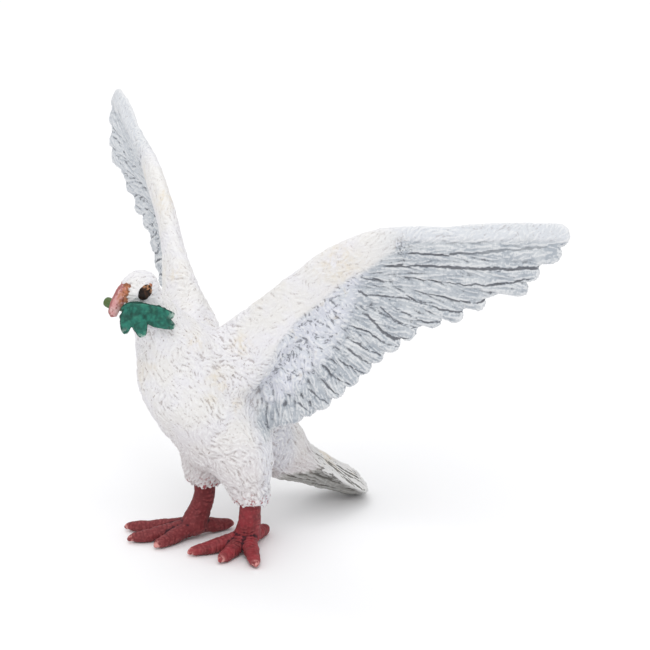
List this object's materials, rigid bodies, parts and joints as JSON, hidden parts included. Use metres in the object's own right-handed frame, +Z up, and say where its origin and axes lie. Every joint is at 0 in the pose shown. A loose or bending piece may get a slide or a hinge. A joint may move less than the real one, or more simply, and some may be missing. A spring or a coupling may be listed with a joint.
{
  "type": "dove figurine",
  "caption": "Small painted dove standing with both wings raised and spread, with a leafy sprig held across its open beak.",
  "frame": {"origin": "on the floor, at the middle of the bottom of the figure's box", "axes": "+X to the bird's left along its span, -Y the way the bird faces, +Z up"},
  "size_m": [0.1112, 0.0522, 0.061],
  "materials": {
    "painted_white": "hand-painted white over moulded plastic, with grey-blue feathers and brick-red legs",
    "painted_green": "hand-painted leaf green"
  },
  "bodies": {
    "root": {"dove": "painted_white", "olive_sprig": "painted_green"}
  },
  "joints": []
}
